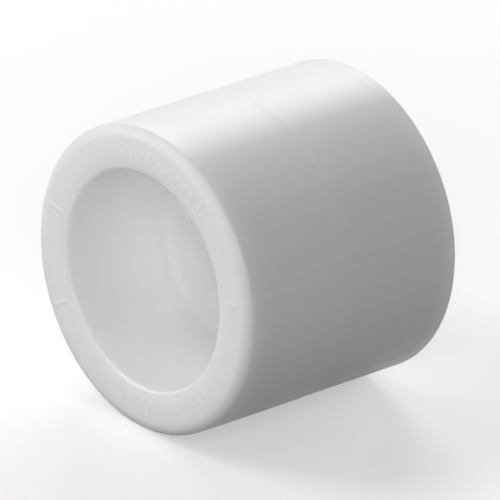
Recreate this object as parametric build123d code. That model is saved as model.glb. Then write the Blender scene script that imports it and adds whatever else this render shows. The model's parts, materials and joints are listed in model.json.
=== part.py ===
"""Plain pipe cap in moulded plastic, for the end of a 25 mm pressure pipe that is fused into its socket.

One injection moulding: a thick round body, closed at one end, with a socket for the pipe that ends in a
flat wall, which stops the pipe. Millimetres and degrees.
The cap is drawn standing on its closed end, with its axis on Z, and is then laid on its side.
Frame: +Z up, mouth towards -Y, origin under the middle of the cap, on the surface that it lies on.
"""
from build123d import *
import os

# Socket and walls
SOCKET_D = 24.1         # socket wall; the 25 mm pipe end is melted into it
SOCKET_DEPTH = 14.4     # mouth to the flat wall that stops the pipe
SOCKET_WALL = 4.95      # from the socket wall to the outside
END_WALL = 15.0         # thickness of the closed end

# Edges of the mouth, the rim and the inside
LIP_ROUND = 0.45        # rounded entry, where the pipe end starts
BEVEL_WIDTH = 0.85      # shallow bevel round the entry
BEVEL_DROP = 0.08
RIM_ROUND_WIDTH = 1.4   # rounded outer edge of the rim; it ends at a crease on the side
RIM_ROUND_DROP = 0.7
CLOSED_EDGE_ROUND = 0.3
ROOT_ROUND = 2.0        # hollow corner at the foot of the socket

# Witness lines left by the mould on the outside
PARTING_DEPTH = 14.6    # mouth to the line round the body
PARTING_WIDTH = 0.22
PARTING_HEIGHT = 0.06
LINE_WIDTH = 0.4        # line along the body, in line with the first tick
LINE_HEIGHT = 0.04

# Gate mark in the middle of the closed end, sunk below the face
GATE_D = 5.0
GATE_SUNK = 0.5
GATE_FLARE = 0.35
GATE_NUB_D = 1.8
GATE_NUB_HEIGHT = 0.3

# Raised marks on the rim: alignment ticks, and a plain scale in each of two marking fields
MARK_WIDTH = 0.28
MARK_HEIGHT = 0.12
MARK_INSET = 0.05       # from the edges of the rim's flat face
FIELD_ANGLE = 90.0      # middle of the first marking field, which ticks bound
FIELD_HALF_SPAN = 34.5
SECOND_FIELD_ANGLE = 291.75
TICK_STEP = 43.5        # from a bounding tick to the next one round
SCALE_STEP = 5.75
SCALE_STEPS = 5         # marks on each side of a field's middle mark
SHORT_MARK = 0.45       # share of a full mark's length
LONG_MARK = 0.75        # the same, for the middle and end marks

MARK_ROOT = 0.3         # how far a mark or line runs into the body

socket_r = SOCKET_D / 2
body_r = socket_r + SOCKET_WALL
length = SOCKET_DEPTH + END_WALL

parting_z = length - PARTING_DEPTH
crease_z = length - RIM_ROUND_DROP

mouth_r = socket_r + LIP_ROUND
face_inner_r = mouth_r + BEVEL_WIDTH
face_outer_r = body_r - RIM_ROUND_WIDTH

TICK_ANGLES = [
    FIELD_ANGLE - FIELD_HALF_SPAN - TICK_STEP,
    FIELD_ANGLE - FIELD_HALF_SPAN,
    FIELD_ANGLE + FIELD_HALF_SPAN,
    FIELD_ANGLE + FIELD_HALF_SPAN + TICK_STEP,
    FIELD_ANGLE + FIELD_HALF_SPAN + 2 * TICK_STEP,
]


def body():
    """The turned shape: half of its section, as (radius, height), revolved about Z."""
    gate_r = GATE_D / 2
    nub_r = GATE_NUB_D / 2
    lip_z = length - BEVEL_DROP
    closed_end = Polyline(
        (0, END_WALL),
        (0, GATE_SUNK - GATE_NUB_HEIGHT),
        (nub_r, GATE_SUNK - GATE_NUB_HEIGHT),
        (nub_r, GATE_SUNK),
        (gate_r - GATE_FLARE, GATE_SUNK),
        (gate_r, 0),
        (body_r - CLOSED_EDGE_ROUND, 0),
    )
    closed_edge = TangentArc((body_r - CLOSED_EDGE_ROUND, 0), (body_r, CLOSED_EDGE_ROUND), tangent=(1, 0))
    side = Polyline(
        (body_r, CLOSED_EDGE_ROUND),
        (body_r, parting_z - PARTING_WIDTH / 2),
        (body_r + PARTING_HEIGHT, parting_z),
        (body_r, parting_z + PARTING_WIDTH / 2),
        (body_r, crease_z),
    )
    rim_edge = TangentArc((face_outer_r, length), (body_r, crease_z), tangent=(1, 0))
    face = Polyline((face_outer_r, length), (face_inner_r, length), (mouth_r, lip_z))
    lip = TangentArc((socket_r, lip_z - LIP_ROUND), (mouth_r, lip_z), tangent=(0, 1))
    wall = Line((socket_r, lip_z - LIP_ROUND), (socket_r, END_WALL + ROOT_ROUND))
    root = TangentArc((socket_r, END_WALL + ROOT_ROUND), (socket_r - ROOT_ROUND, END_WALL), tangent=(0, -1))
    floor = Line((socket_r - ROOT_ROUND, END_WALL), (0, END_WALL))
    outline = [closed_end, closed_edge, side, rim_edge, face, lip, wall, root, floor]
    section = make_face(Plane.XZ * (Curve() + outline))
    return revolve(section, Axis.Z)


def rim_mark(angle, share=1.0):
    """A raised radial bar on the rim's flat face, outwards from the face's inner edge."""
    full = face_outer_r - face_inner_r - 2 * MARK_INSET
    start = face_inner_r + MARK_INSET
    bar = Box(
        full * share, MARK_WIDTH, MARK_HEIGHT + MARK_ROOT, align=(Align.MIN, Align.CENTER, Align.MAX)
    )
    return Rot(Z=angle) * Pos(start, 0, length + MARK_HEIGHT) * bar


def scale(middle):
    """The marks of one field: long at its middle and ends, short between."""
    marks = []
    for i in range(-SCALE_STEPS, SCALE_STEPS + 1):
        share = LONG_MARK if i in (-SCALE_STEPS, 0, SCALE_STEPS) else SHORT_MARK
        marks.append(rim_mark(middle + i * SCALE_STEP, share))
    return marks


def side_line(angle):
    """A low straight line along the outside, from the closed end's edge to the rim's crease."""
    bar = Box(
        LINE_HEIGHT + MARK_ROOT, LINE_WIDTH, crease_z - CLOSED_EDGE_ROUND,
        align=(Align.MAX, Align.CENTER, Align.MIN),
    )
    return Rot(Z=angle) * Pos(body_r + LINE_HEIGHT, 0, CLOSED_EDGE_ROUND) * bar


def cap_body():
    marks = [rim_mark(angle) for angle in TICK_ANGLES]
    marks += scale(FIELD_ANGLE) + scale(SECOND_FIELD_ANGLE)
    return body() + marks + side_line(TICK_ANGLES[0])


def laid_down(shape):
    """On its side, with the mouth towards -Y and the first marking field on top."""
    return Pos(0, (length + MARK_HEIGHT) / 2, body_r + PARTING_HEIGHT) * Rot(X=90) * shape


os.makedirs("parts", exist_ok=True)
export_step(laid_down(cap_body()), "parts/cap_body.step")
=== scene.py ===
"""Looks of a moulded plastic pipe cap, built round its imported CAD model.

The cap lies on its side: mouth towards -Y, +Z up, origin on the surface under its middle.
Blender works in metres; sizes below are in millimetres and degrees, as a drawing gives them.
"""
import json
import math

import bpy
import numpy as np
from mathutils import Matrix, Vector, noise


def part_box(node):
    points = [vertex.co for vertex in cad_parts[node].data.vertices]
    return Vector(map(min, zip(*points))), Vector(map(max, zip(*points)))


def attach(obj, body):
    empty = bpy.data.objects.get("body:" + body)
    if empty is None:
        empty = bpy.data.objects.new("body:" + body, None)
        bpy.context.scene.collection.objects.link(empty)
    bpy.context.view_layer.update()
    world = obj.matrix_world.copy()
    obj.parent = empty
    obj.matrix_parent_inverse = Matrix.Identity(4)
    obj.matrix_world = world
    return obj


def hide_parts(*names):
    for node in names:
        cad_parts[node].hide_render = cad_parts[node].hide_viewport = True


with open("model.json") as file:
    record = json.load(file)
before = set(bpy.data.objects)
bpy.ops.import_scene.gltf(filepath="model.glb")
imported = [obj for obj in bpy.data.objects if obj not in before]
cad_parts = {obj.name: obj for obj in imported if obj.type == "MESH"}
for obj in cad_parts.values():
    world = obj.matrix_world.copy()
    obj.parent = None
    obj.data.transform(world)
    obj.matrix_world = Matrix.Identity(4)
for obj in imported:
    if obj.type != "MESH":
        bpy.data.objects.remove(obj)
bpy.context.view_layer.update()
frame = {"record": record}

MM = 0.001

# ---- sizes -----------------------------------------------------------------------------------
MARK_HEIGHT = 0.12                      # on the solid, whose box includes it
PARTING_HEIGHT = 0.06                   # likewise

low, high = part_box("cap_body")
socket = next(m for m in frame["record"]["mounts"] if m["name"] == "pipe_socket")
SOCKET_R = socket["dims"]["r_mm"]
BODY_R = (high.x - low.x) / MM / 2 - PARTING_HEIGHT
LENGTH = (high.y - low.y) / MM - MARK_HEIGHT
AXIS_Z = socket["pos_m"][2] / MM        # height of the cap's axis over the surface
CLOSED_END_Y = high.y / MM              # where the closed end's face lies

# Inside
SOCKET_DEPTH = 14.4
ROOT_ROUND = 2.0
# Mouth and rim
LIP_ROUND = 0.45
LIP_ROUND_SHORT = 0.02                  # how far the lip's rounding stops short of the bevel
BEVEL_WIDTH = 0.85
BEVEL_DROP = 0.08
BEVEL_SOFTENED = 0.3                    # radius of the rounding on the bevel's two edges
RIM_ROUND_WIDTH = 1.4
RIM_ROUND_DROP = 0.7
CREASE_ROUND = 0.45
# Closed end, with the gate mark in its middle
CLOSED_EDGE_ROUND = 0.3
GATE_R = 2.5
GATE_SUNK = 0.5
GATE_FLARE = 0.35
GATE_NUB_R = 0.9
GATE_NUB_HEIGHT = 0.3
GATE_ROUND = 0.12
# Lines left by the mould
PARTING_DEPTH = 14.6
PARTING_WIDTH = 0.22
PARTING_SWELL = 0.024                   # what is left to see of the line round the body
PARTING_SHARPNESS = 1.4                 # 1 is a plain triangle, and more is hollow at the foot
LINE_SWELL = 0.006                      # and of the one along it
SWELLING = 0.048                        # the lower side stands out a little behind the rim
SWELLING_ANGLE = -58.0
SWELLING_FADE = 3.0
SHRUNK = 0.013                          # the outside's usual shrinkage
SHRUNK_SLOWLY = 0.010                   # how much that varies over a centimetre or so
SLOW_PER_MM = 0.09
SHRUNK_QUICKLY = 0.003                  # and within a few millimetres
QUICK_PER_MM = 0.31
QUICK_AWAY = Vector((7, 3, 5))          # takes the quick noise from another place than the slow one
# Raised marks on the rim
MARK_WIDTH = 0.28
MARK_FLANK = 0.13                       # width of a mark's sloping side
MARK_RISE = 0.070                       # how high a mark looks, its edges being worn soft
MARK_INSET = 0.05
FIELD_ANGLE = 90.0
FIELD_HALF_SPAN = 34.5
SECOND_FIELD_ANGLE = 291.75
TICK_STEP = 43.5
SCALE_STEP = 5.75
SCALE_STEPS = 5
SHORT_MARK = 0.45
LONG_MARK = 0.75
# Mesh
RING_STEP = 1.2                         # longest run between two rings
ANGLE_STEP = 2.0
MARK_ROOM = 1.5                         # no plain line within so many times a mark's half width
CORNER_STEP = 12                        # most degrees that a rounded corner turns in one step
FLANK_STEPS = 3                         # runs that a mark's slope is made of
RIDGE_STEPS = 8
RIM_EDGE_STEPS = 10
SAME = 1e-6                             # millimetres apart that count as none
STRAIGHT = 1e-3                         # half a corner's turn, in radians, below which there is no corner

MOUTH_Y = CLOSED_END_Y - LENGTH         # where the rim's face lies
SOCKET_END_Z = LENGTH - SOCKET_DEPTH
PARTING_Z = LENGTH - PARTING_DEPTH
CREASE_Z = LENGTH - RIM_ROUND_DROP
MOUTH_R = SOCKET_R + LIP_ROUND
FACE_INNER_R = MOUTH_R + BEVEL_WIDTH
FACE_OUTER_R = BODY_R - RIM_ROUND_WIDTH
MARK_START_R = FACE_INNER_R + MARK_INSET
MARK_LENGTH = FACE_OUTER_R - FACE_INNER_R - 2 * MARK_INSET

TICKS = [
    FIELD_ANGLE - FIELD_HALF_SPAN - TICK_STEP,
    FIELD_ANGLE - FIELD_HALF_SPAN,
    FIELD_ANGLE + FIELD_HALF_SPAN,
    FIELD_ANGLE + FIELD_HALF_SPAN + TICK_STEP,
    FIELD_ANGLE + FIELD_HALF_SPAN + 2 * TICK_STEP,
]


# ---- the moulding's section --------------------------------------------------------------------
def rounded(corners):
    """A line through corners given as (radius, height, rounding), with those corners rounded."""
    points = [corners[0][:2]]
    for before, corner, after in zip(corners, corners[1:], corners[2:]):
        here = Vector(corner[:2])
        back = (Vector(before[:2]) - here).normalized()
        ahead = (Vector(after[:2]) - here).normalized()
        half_turn = (math.pi - back.angle(ahead)) / 2
        rounding = corner[2]
        if rounding == 0 or half_turn < STRAIGHT:
            points.append(tuple(here))
            continue
        centre = here + (back + ahead).normalized() * rounding / math.cos(half_turn)
        first = here + back * rounding * math.tan(half_turn) - centre
        last = here + ahead * rounding * math.tan(half_turn) - centre
        steps = max(2, math.ceil(math.degrees(2 * half_turn) / CORNER_STEP))
        for i in range(steps + 1):
            points.append(tuple(centre + first.slerp(last, i / steps).normalized() * rounding))
    return points + [corners[-1][:2]]


def with_rings(points):
    """The same line with its long straight runs divided."""
    full = []
    for here, after in zip(points, points[1:]):
        count = max(1, math.ceil(math.dist(here, after) / RING_STEP))
        start, run = np.array(here), np.array(after) - np.array(here)
        full += [tuple(start + run * i / count) for i in range(count)]
    return full + [points[-1]]


def parting_ridge():
    """The ridge round the body, from its closed-end side to its mouth side."""
    ridge = []
    for i in range(RIDGE_STEPS + 1):
        aside = 2 * i / RIDGE_STEPS - 1
        swell = PARTING_SWELL * (1 - abs(aside)) ** PARTING_SHARPNESS
        ridge.append((BODY_R + swell, PARTING_Z + aside * PARTING_WIDTH / 2, 0))
    return ridge


def rim_edge():
    """The rounded outer edge of the rim, from just above the crease to the flat face."""
    radius = (RIM_ROUND_WIDTH**2 + RIM_ROUND_DROP**2) / (2 * RIM_ROUND_DROP)
    span = math.asin(RIM_ROUND_WIDTH / radius)
    turns = [span * (1 - i / RIM_EDGE_STEPS) for i in range(1, RIM_EDGE_STEPS + 1)]
    return [
        (FACE_OUTER_R + radius * math.sin(a), LENGTH - radius * (1 - math.cos(a)), 0) for a in turns
    ]


def mark_ends():
    """Radii on the rim's face where a mark's end slopes, from the outside inwards."""
    slope = [MARK_FLANK * i / FLANK_STEPS for i in range(FLANK_STEPS + 1)]
    ends = [MARK_START_R + MARK_LENGTH * share for share in (1.0, LONG_MARK, SHORT_MARK)]
    radii = [end - s for end in ends for s in slope]
    return radii + [MARK_START_R + s for s in reversed(slope)]


def section():
    """Half of the cap's section as (radius, height over the closed end), from centre to centre."""
    nub_z = GATE_SUNK - GATE_NUB_HEIGHT
    lip_z = LENGTH - BEVEL_DROP
    return with_rings(rounded([
        (0, nub_z, 0),
        (GATE_NUB_R, nub_z, GATE_ROUND),
        (GATE_NUB_R, GATE_SUNK, GATE_ROUND),
        (GATE_R - GATE_FLARE, GATE_SUNK, GATE_ROUND),
        (GATE_R, 0, GATE_ROUND),
        (BODY_R, 0, CLOSED_EDGE_ROUND),
        *parting_ridge(),
        (BODY_R, CREASE_Z, CREASE_ROUND),
        *rim_edge(),
        *[(radius, LENGTH, 0) for radius in mark_ends()],
        (FACE_INNER_R, LENGTH, BEVEL_SOFTENED),
        (MOUTH_R, lip_z, BEVEL_SOFTENED),
        (SOCKET_R, lip_z, LIP_ROUND - LIP_ROUND_SHORT),
        (SOCKET_R, SOCKET_END_Z, ROOT_ROUND),
        (0, SOCKET_END_Z, 0),
    ]))


# ---- what stands on it -------------------------------------------------------------------------
def eased(t):
    """0 up to 0 and 1 from 1 on, with a soft start and a soft end between."""
    t = np.clip(t, 0, 1)
    return t * t * (3 - 2 * t)


def scale_marks(middle):
    """The marks of one field, as (angle, share of a full mark's length)."""
    longer = (-SCALE_STEPS, 0, SCALE_STEPS)
    return [
        (middle + i * SCALE_STEP, LONG_MARK if i in longer else SHORT_MARK)
        for i in range(-SCALE_STEPS, SCALE_STEPS + 1)
    ]


def stations():
    """The lines along the body: rows of (angle, sideways offset, share of a mark's height, mark's length).

    Plain lines stand at even angles. Each mark has lines of its own, at the foot, on the slope
    and at the top of both its sides.
    """
    marks = [(angle, 1.0) for angle in TICKS] + scale_marks(FIELD_ANGLE) + scale_marks(SECOND_FIELD_ANGLE)
    top = (MARK_WIDTH - MARK_FLANK) / 2
    rows = []
    for angle, share in marks:
        for i in range(FLANK_STEPS + 1):
            offset = top + MARK_FLANK * i / FLANK_STEPS
            height = float(eased(1 - i / FLANK_STEPS))
            rows += [(angle, -offset, height, share), (angle, offset, height, share)]
    clear = math.degrees(MARK_ROOM * (top + MARK_FLANK) / FACE_INNER_R)
    for angle in np.arange(0, 360, ANGLE_STEP):
        if all(abs(angle - mark[0]) > clear for mark in marks):
            rows.append((angle, 0.0, 0.0, 0.0))
    return np.array(sorted(rows, key=lambda row: (row[0], row[1])))


def shrinkage(place):
    """How far the outside has shrunk inwards at a place, since moulded plastic is never quite true."""
    slow = noise.noise(place * SLOW_PER_MM)
    quick = noise.noise(place * QUICK_PER_MM + QUICK_AWAY)
    return SHRUNK - SHRUNK_SLOWLY * slow - SHRUNK_QUICKLY * quick


def swelling(height, turn):
    """How far the lower side stands out from the rim back to the parting line, where half is left."""
    front = eased((height - PARTING_Z) / SWELLING_FADE + 0.5)
    behind_rim = eased((CREASE_Z - height) / SWELLING_FADE)
    side = np.maximum(np.cos(turn - math.radians(SWELLING_ANGLE)), 0)
    return SWELLING * float(front * behind_rim) * side


def ring_of_points(radius, height, lines):
    """One ring of the moulding's surface, in millimetres, with what stands on it."""
    angle, offset, rise, share = lines.T
    on_face = abs(height - LENGTH) < SAME and FACE_INNER_R < radius < FACE_OUTER_R + SAME
    on_side = radius > BODY_R - SAME
    held = min(max(radius, FACE_INNER_R), FACE_OUTER_R)
    turn = np.radians(angle) + offset / held
    r = np.full(len(lines), radius)
    z = np.full(len(lines), height)
    if on_face:
        end = MARK_START_R + MARK_LENGTH * share
        along = eased((radius - MARK_START_R) / MARK_FLANK) * eased((end - radius) / MARK_FLANK)
        z += MARK_RISE * rise * along
    if on_side:
        # the line along the side carries on from the first tick
        line = np.where(np.isclose(angle, TICKS[0]), LINE_SWELL * rise, 0)
        r = np.maximum(r, BODY_R + line) + swelling(height, turn)
    x, y, up = np.cos(turn), CLOSED_END_Y - z, np.sin(turn)
    outside = float(eased((radius - FACE_OUTER_R) / RIM_ROUND_WIDTH))
    if outside > 0:
        r -= outside * np.array([shrinkage(Vector(p)) for p in zip(r * x, y, r * up)])
    return list(zip(r * x, y, AXIS_Z + r * up))


def cap_mesh():
    """The whole moulding as one closed surface: rings, and a single point in the middle of each end."""
    lines = stations()
    rings = [ring_of_points(radius, height, lines) for radius, height in section()]
    middles = [tuple(np.array(ring).mean(axis=0)) for ring in (rings[0], rings[-1])]
    rings = rings[1:-1]
    verts = [point for ring in rings for point in ring] + middles
    count = len(lines)
    last_ring = (len(rings) - 1) * count
    faces = []
    for i in range(len(rings) - 1):
        for j in range(count):
            after = (j + 1) % count
            faces.append((i * count + j, i * count + after, (i + 1) * count + after, (i + 1) * count + j))
    for j in range(count):
        after = (j + 1) % count
        faces.append((len(verts) - 2, after, j))
        faces.append((len(verts) - 1, last_ring + j, last_ring + after))
    mesh = bpy.data.meshes.new("cap")
    mesh.from_pydata([tuple(MM * c for c in v) for v in verts], [], faces)
    mesh.polygons.foreach_set("use_smooth", [True] * len(mesh.polygons))
    mesh.update()
    return mesh


# ---- material ----------------------------------------------------------------------------------
PALE = (0.943, 0.945, 0.945, 1)
CLOUDED = (0.927, 0.929, 0.929, 1)
SIDE_HIGHLIGHT_ANGLE = 14.5                  # painted highlight: a soft pale band along the side, stronger towards the closed end
SIDE_HIGHLIGHT_WIDTH = 2.6
SIDE_HIGHLIGHT_GAIN = 0.10
SIDE_HIGHLIGHT_START = 0.25                  # how much of that is left at the mouth
PARTING_HIGHLIGHT_WIDTH = 0.30                   # painted highlight along the parting line's ridge
PARTING_HIGHLIGHT_GAIN = 0.12
PARTING_HIGHLIGHT_BELOW = 0.10                   # and more so on the lower side, where the ridge catches the light
NO_PARTING_HIGHLIGHT_ANGLE = 22.0                  # but none at this angle round the body
SHOULDER_REFLECTION_DEPTH = 12.9                  # painted reflection: a faint pale ring in the socket's wall, the mirror image of the shoulder
SHOULDER_REFLECTION_WIDTH = 0.35
SHOULDER_REFLECTION_GAIN = 0.02
FADE_NEAR, FADE_FAR = 0.2, 0.6          # a wall's lines fade out between these depths in the plastic
SMOOTHEST, DULLEST = 0.29, 0.36         # roughness of the polished surfaces
RIM_DULLER = 0.20                       # the rim's face was engraved, not polished like the side
DULL_DOWN_TO = 0.3                      # fully to this depth under the face
DULL_PAST_CREASE = 0.4                  # and fading out until so far past the crease
DULL_NEAR, DULL_FAR = 0.1, 0.5          # fading in between these distances outside the lip
CLOUDS_PER_MM = 0.14
SHEEN_PER_MM = 0.5
PEEL_PER_MM = 0.9                       # the faint orange peel of the mould's polish
TURNED_PER_MM = 5.0                     # rings that the lathe left in the mould
DRAWN_PER_MM = 3.2                      # streaks from drawing the cap off its core
DRAWN_STRETCH = 0.03                    # how slowly the streaks change along the cap
PEEL_DEPTH = 0.0035
TURNED_DEPTH = 0.0007
DRAWN_DEPTH = 0.0009
USUAL_LOW, USUAL_HIGH = 0.3, 0.7        # most of a noise's values lie between these
REFRACTION = 1.49
LIGHT_ENTERS = 2.0                      # how far light spreads under the surface


class Nodes:
    """Short ways to add the nodes that a material or the world is made of."""

    def __init__(self, owner):
        self.tree = owner.node_tree

    def add(self, kind, **values):
        node = self.tree.nodes.new(kind)
        for name, value in values.items():
            setattr(node, name, value)
        return node

    def feed(self, socket, value):
        """Links another node's output to the input, or sets the input to a number."""
        if isinstance(value, bpy.types.NodeSocket):
            self.tree.links.new(value, socket)
        else:
            socket.default_value = value

    def vector(self, operation, first, second):
        node = self.add("ShaderNodeVectorMath", operation=operation)
        self.feed(node.inputs[0], first)
        self.feed(node.inputs[1], second)
        return node.outputs["Value" if operation == "LENGTH" else "Vector"]

    def noise(self, place, scale, detail):
        node = self.add("ShaderNodeTexNoise")
        self.feed(node.inputs["Vector"], place)
        self.feed(node.inputs["Scale"], scale)
        self.feed(node.inputs["Detail"], detail)
        return node.outputs["Fac"]

    def between(self, value, low, high):
        """A noise's usual range, spread from low to high."""
        return self.spread(self.add("ShaderNodeMapRange"), value, USUAL_LOW, USUAL_HIGH, low, high)

    def calculate(self, operation, first, second=0.0):
        node = self.add("ShaderNodeMath", operation=operation)
        self.feed(node.inputs[0], first)
        self.feed(node.inputs[1], second)
        return node.outputs[0]

    def ramp(self, value, low, high, first=0.0, last=1.0):
        """Smoothly from first, where the value is low, to last, where it is high."""
        node = self.add("ShaderNodeMapRange", interpolation_type="SMOOTHSTEP")
        return self.spread(node, value, low, high, first, last)

    def spread(self, node, value, low, high, first, last):
        """The value through a map range node, which gives first at low and last at high."""
        self.feed(node.inputs["Value"], value)
        for name, number in (("From Min", low), ("From Max", high), ("To Min", first), ("To Max", last)):
            self.feed(node.inputs[name], number)
        return node.outputs["Result"]

    def mix(self, share, first, second):
        """The first colour where the share is 0, and the second where it is 1."""
        node = self.add("ShaderNodeMix", data_type="RGBA")
        self.feed(node.inputs["Factor"], share)
        self.feed(node.inputs["A"], first)
        self.feed(node.inputs["B"], second)
        return node.outputs["Result"]

    def bump(self, height, depth, under=None):
        node = self.add("ShaderNodeBump")
        self.feed(node.inputs["Height"], height)
        self.feed(node.inputs["Distance"], depth * MM)
        if under is not None:
            self.feed(node.inputs["Normal"], under)
        return node.outputs["Normal"]


class Places(Nodes):
    """Where on the cap the surface is, in millimetres and radians, as outputs of nodes."""

    def __init__(self, material):
        super().__init__(material)
        place = self.add("ShaderNodeTexCoord").outputs["Object"]
        place = self.vector("SUBTRACT", place, (0, 0, AXIS_Z * MM))
        self.place = self.vector("MULTIPLY", place, (1 / MM, 1 / MM, 1 / MM))
        split = self.add("ShaderNodeSeparateXYZ")
        self.feed(split.inputs[0], self.place)
        self.along = split.outputs["Y"]
        self.angle = self.calculate("ARCTAN2", split.outputs["Z"], split.outputs["X"])
        self.radius = self.vector("LENGTH", self.vector("MULTIPLY", self.place, (1, 0, 1)), (0, 0, 0))

    def beside(self, value, middle, width):
        """1 at the middle, fading to 0 at the width on both sides of it."""
        aside = self.calculate("ABSOLUTE", self.calculate("SUBTRACT", value, middle))
        return self.ramp(aside, 0, width, 1, 0)


def colour(make):
    """Pale, with faint clouds in it."""
    clouds = make.noise(make.place, CLOUDS_PER_MM, detail=3)
    return make.mix(make.between(clouds, 0, 1), PALE, CLOUDED)


def side_highlight(make, outside):
    """A painted highlight: a soft pale band along the side, stronger towards the closed end."""
    near = make.beside(make.angle, math.radians(SIDE_HIGHLIGHT_ANGLE), math.radians(SIDE_HIGHLIGHT_WIDTH))
    strength = make.ramp(make.along, MOUTH_Y, CLOSED_END_Y, SIDE_HIGHLIGHT_START, 1)
    line = make.calculate("MULTIPLY", make.calculate("MULTIPLY", near, outside), strength)
    return make.calculate("MULTIPLY", line, SIDE_HIGHLIGHT_GAIN)


def parting_highlight(make, outside):
    """A painted highlight along the parting line, almost all of it on the lower side."""
    near = make.beside(make.along, CLOSED_END_Y - PARTING_Z, PARTING_HIGHLIGHT_WIDTH)
    from_no_highlight = make.calculate("SUBTRACT", make.angle, math.radians(NO_PARTING_HIGHLIGHT_ANGLE))
    away = make.calculate("SINE", from_no_highlight)
    highlight = make.calculate("MULTIPLY", make.calculate("ABSOLUTE", away), PARTING_HIGHLIGHT_GAIN)
    highlight = make.calculate("SUBTRACT", highlight, make.calculate("MULTIPLY", away, PARTING_HIGHLIGHT_BELOW))
    return make.calculate("MULTIPLY", make.calculate("MULTIPLY", near, outside), highlight)


def shoulder_reflection(make):
    """A painted reflection of the shoulder: a faint pale ring in the socket's wall."""
    near = make.beside(make.along, MOUTH_Y + SHOULDER_REFLECTION_DEPTH, SHOULDER_REFLECTION_WIDTH)
    inside = make.ramp(make.radius, SOCKET_R + FADE_NEAR, SOCKET_R + FADE_FAR, 1, 0)
    return make.calculate("MULTIPLY", make.calculate("MULTIPLY", near, inside), SHOULDER_REFLECTION_GAIN)


def with_painted_light(make, plain):
    """The colour, made whiter by painted highlights along the side and the parting line and by a painted
    reflection in the socket.
    """
    outside = make.ramp(make.radius, BODY_R - FADE_FAR, BODY_R - FADE_NEAR)
    gain = make.calculate("ADD", side_highlight(make, outside), 1)
    gain = make.calculate("ADD", parting_highlight(make, outside), gain)
    gain = make.calculate("ADD", shoulder_reflection(make), gain)
    whiter = make.vector("SCALE", plain, (0, 0, 0))
    make.feed(whiter.node.inputs["Scale"], gain)
    return whiter


def roughness(make):
    """Satin, with slow changes, and duller on the rim from its rounded edge to just short of the lip."""
    crease_y = MOUTH_Y + RIM_ROUND_DROP
    rim = make.ramp(make.along, MOUTH_Y + DULL_DOWN_TO, crease_y + DULL_PAST_CREASE, RIM_DULLER, 0)
    beyond_lip = make.ramp(make.radius, MOUTH_R + DULL_NEAR, MOUTH_R + DULL_FAR)
    sheen = make.between(make.noise(make.place, SHEEN_PER_MM, detail=4), SMOOTHEST, DULLEST)
    return make.calculate("ADD", sheen, make.calculate("MULTIPLY", rim, beyond_lip))


def skin(make):
    """The fine relief that the mould's polish, the lathe and the core left."""
    turned = make.add("ShaderNodeCombineXYZ")
    make.feed(turned.inputs["X"], make.radius)
    make.feed(turned.inputs["Y"], make.along)
    drawn = make.vector("MULTIPLY", make.place, (1, DRAWN_STRETCH, 1))
    relief = make.bump(make.noise(make.place, PEEL_PER_MM, detail=1), PEEL_DEPTH)
    relief = make.bump(make.noise(turned.outputs[0], TURNED_PER_MM, detail=2), TURNED_DEPTH, relief)
    return make.bump(make.noise(drawn, DRAWN_PER_MM, detail=2), DRAWN_DEPTH, relief)


def polypropylene():
    """White polypropylene as it leaves the mould: satin, a little cloudy, with the mould's traces in its
    relief, and with painted highlights and a painted reflection in its colour.
    """
    material = bpy.data.materials.new("moulded_polypropylene")
    material.use_nodes = True
    shader = material.node_tree.nodes["Principled BSDF"]
    make = Places(material)
    make.feed(shader.inputs["Base Color"], with_painted_light(make, colour(make)))
    make.feed(shader.inputs["Roughness"], roughness(make))
    make.feed(shader.inputs["Normal"], skin(make))
    shader.inputs["IOR"].default_value = REFRACTION
    shader.inputs["Subsurface Weight"].default_value = 1.0
    shader.inputs["Subsurface Radius"].default_value = (1.0, 1.0, 1.0)
    shader.inputs["Subsurface Scale"].default_value = LIGHT_ENTERS * MM
    return material


# ---- stage, lamps and camera -------------------------------------------------------------------
CAMERA_AZIMUTH = 46.77
CAMERA_ELEVATION = 25.83
CAMERA_ROLL = 4.02
CAMERA_DISTANCE = 1254.8
CAMERA_LENS = 851.8
CAMERA_SENSOR = 36
NEAREST_SEEN, FARTHEST_SEEN = 100, 10000
AIM_RIGHT, AIM_UP = 0.445, -0.312       # the view's middle, from the body's middle
BODY_CENTRE = Vector((0, CLOSED_END_Y - LENGTH / 2, AXIS_Z))


def directions(azimuth, elevation, roll=0):
    a, e = math.radians(azimuth), math.radians(elevation)
    back = Vector((math.sin(a) * math.cos(e), -math.cos(a) * math.cos(e), math.sin(e)))
    right = Vector((math.cos(a), math.sin(a), 0))
    up = back.cross(right)
    tilt = Matrix.Rotation(math.radians(roll), 3, back)
    return tilt @ right, tilt @ up, back


def set_facing(thing, place, right, up, back):
    """Puts a camera or a lamp at a place in millimetres, facing away from back."""
    turned = Matrix((right, up, back)).transposed().to_4x4()
    thing.matrix_world = Matrix.Translation(place * MM) @ turned
    bpy.context.scene.collection.objects.link(thing)


def add_camera():
    right, up, back = directions(CAMERA_AZIMUTH, CAMERA_ELEVATION, CAMERA_ROLL)
    place = BODY_CENTRE + right * AIM_RIGHT + up * AIM_UP + back * CAMERA_DISTANCE
    data = bpy.data.cameras.new("camera")
    data.lens = CAMERA_LENS
    data.sensor_width = CAMERA_SENSOR
    data.clip_start, data.clip_end = NEAREST_SEEN * MM, FARTHEST_SEEN * MM
    camera = bpy.data.objects.new("camera", data)
    set_facing(camera, place, right, up, back)
    bpy.context.scene.camera = camera


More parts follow.
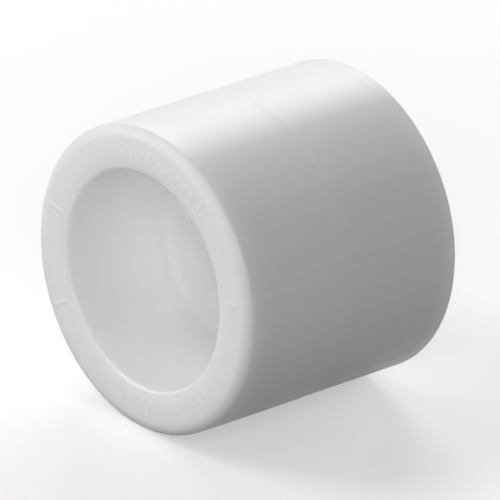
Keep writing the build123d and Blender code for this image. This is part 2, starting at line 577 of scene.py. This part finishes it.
LAMP_DISTANCE = 500
LAMPS = {                               # degrees from the camera's azimuth, elevation, spread, light in W/m2
    "key_low": (-90, 10, 25, 1.00),
    "key_high": (-90, 45, 25, 0.85),
    "fill": (0, 25, 25, 0.95),
    "fill_low": (-30, 10, 25, 0.30),
    "rear": (180, 38, 30, 1.10),
    "rear_low": (180, 12, 25, 0.16),
    "closed_end": (133, 15, 30, 0.80),
}
FLOOR_REACH = 1500                      # from the middle to each side of the floor
FLOOR_SEEN = 0.80                       # how pale the floor is to the eye
FLOOR_GIVEN = 0.15                      # and in the light that it gives back to the cap
FLOOR_LIFT = 0.42                       # a glow only in what is seen directly
WORLD_LIGHT = 0.01                      # what the white surroundings give to the cap
LIGHT_BOUNCES = 12                      # the white socket needs many


def softbox(name, azimuth, elevation, spread, light):
    """A square lamp that fills so many degrees of the cap's view, with its light in W/m2."""
    right, up, back = directions(azimuth, elevation)
    data = bpy.data.lights.new(name, "AREA")
    data.shape = "SQUARE"
    data.size = 2 * LAMP_DISTANCE * math.tan(math.radians(spread / 2)) * MM
    data.energy = light * math.pi * (LAMP_DISTANCE * MM) ** 2
    lamp = bpy.data.objects.new(name, data)
    lamp.visible_camera = False
    set_facing(lamp, BODY_CENTRE + back * LAMP_DISTANCE, right, up, back)


def seen_directly(make):
    """1 for what the eye sees, straight or in a gloss or through something clear, and 0 for light."""
    rays = make.add("ShaderNodeLightPath").outputs
    seen = make.calculate("MAXIMUM", rays["Is Camera Ray"], rays["Is Glossy Ray"])
    return make.calculate("MAXIMUM", seen, rays["Is Transmission Ray"])


def grey(level):
    return (level, level, level, 1)


def add_floor():
    """A pale floor that keeps the cap's shadow and gives little light back."""
    reach = FLOOR_REACH * MM
    corners = [(-reach, -reach, 0), (reach, -reach, 0), (reach, reach, 0), (-reach, reach, 0)]
    mesh = bpy.data.meshes.new("floor")
    mesh.from_pydata(corners, [], [(0, 1, 2, 3)])
    floor = bpy.data.objects.new("floor", mesh)
    bpy.context.scene.collection.objects.link(floor)
    material = bpy.data.materials.new("floor")
    material.use_nodes = True
    material.cycles.emission_sampling = "NONE"
    make = Nodes(material)
    seen = seen_directly(make)
    shader = material.node_tree.nodes["Principled BSDF"]
    shade = make.mix(seen, grey(FLOOR_GIVEN), grey(FLOOR_SEEN))
    make.feed(shader.inputs["Base Color"], shade)
    shader.inputs["Roughness"].default_value = 1
    shader.inputs["Specular IOR Level"].default_value = 0
    shader.inputs["Emission Color"].default_value = grey(1)
    make.feed(shader.inputs["Emission Strength"], make.calculate("MULTIPLY", seen, FLOOR_LIFT))
    mesh.materials.append(material)


def add_world():
    """White to the eye, and almost no light."""
    world = bpy.data.worlds.new("world")
    world.use_nodes = True
    world.cycles.sampling_method = "NONE"
    make = Nodes(world)
    background = world.node_tree.nodes["Background"]
    background.inputs["Color"].default_value = grey(1)
    level = make.add("ShaderNodeMapRange")
    make.feed(level.inputs["Value"], seen_directly(make))
    make.feed(level.inputs["To Min"], WORLD_LIGHT)
    make.feed(level.inputs["To Max"], 1.0)
    make.feed(background.inputs["Strength"], level.outputs["Result"])
    bpy.context.scene.world = world


cap = bpy.data.objects.new("cap", cap_mesh())
bpy.context.scene.collection.objects.link(cap)
cap.data.materials.append(polypropylene())
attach(cap, "root")
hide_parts("cap_body")

add_camera()
add_floor()
add_world()
for name, (turn, elevation, spread, light) in LAMPS.items():
    softbox(name, CAMERA_AZIMUTH + turn, elevation, spread, light)
bpy.context.scene.cycles.diffuse_bounces = LIGHT_BOUNCES
bpy.context.scene.view_settings.view_transform = "Standard"
